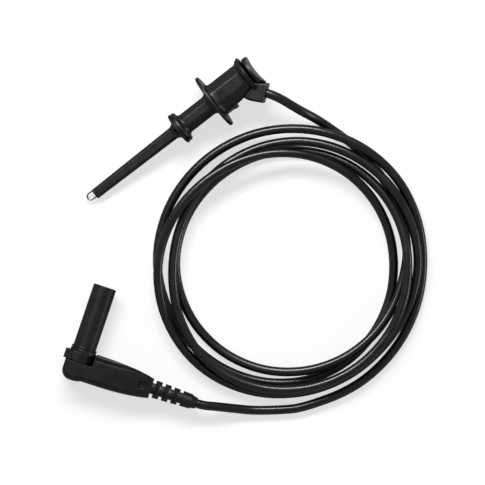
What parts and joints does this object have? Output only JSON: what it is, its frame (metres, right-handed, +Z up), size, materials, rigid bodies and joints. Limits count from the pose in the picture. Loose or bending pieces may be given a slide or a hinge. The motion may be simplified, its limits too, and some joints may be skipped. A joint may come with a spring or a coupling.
{
  "type": "hook grabber test lead",
  "caption": "Test lead with a sprung plunger hook grabber, a loosely coiled flexible lead and a right-angled shrouded 4 mm plug with a ribbed strain relief.",
  "frame": {"origin": "middle of the grabber clip's box, on the bench it lies on", "axes": "+X along the clip from its hook to its thumb rest, +Y to the side of the clip away from the lead, +Z up from the bench"},
  "size_m": [0.1361, 0.1223, 0.0168],
  "materials": {
    "black_nylon": "moulded, satin",
    "black_moulding": "moulded, dull satin",
    "black_lead": "smooth, faint sheen",
    "soft_boot": "moulded, matt",
    "hook_steel": "bright drawn wire",
    "spring_steel": "drawn wire",
    "nickel_plate": "plated, bright",
    "turned_brass": "turned",
    "copper_strands": "bare stranded copper",
    "insulator": "moulded"
  },
  "bodies": {
    "test_lead": {"barrel_body": "black_nylon", "nozzle_tube": "black_nylon", "guide_bush": "turned_brass", "return_spring": "spring_steel", "cord_clip_stretch": "black_lead", "cord_coil": "black_lead", "cord_plug_stretch": "black_lead", "strain_relief": "soft_boot", "elbow_body": "black_moulding", "shroud_collar": "black_moulding", "shroud_sleeve": "black_nylon", "banana_pin": "nickel_plate", "pin_spring": "nickel_plate", "pin_tip": "insulator", "pin_spacer": "insulator", "crimp_barrel": "nickel_plate", "plug_core_wire": "copper_strands"},
    "plunger": {"plunger_button": "black_nylon", "horn_grommet": "soft_boot", "wire_ferrule": "nickel_plate", "clip_core_wire": "copper_strands", "contact_rod": "turned_brass", "stop_collar": "turned_brass", "spring_washer": "spring_steel", "hook_wire": "hook_steel"}
  },
  "joints": [
    {"name": "plunger_press", "type": "slide", "parent": "test_lead", "child": "plunger", "axis": [-0.9932, 0, -0.1163], "range_m": [0, 0.002], "stiffness_N_per_m": 600, "springref_m": -0.002, "deforming": ["return_spring"]}
  ]
}
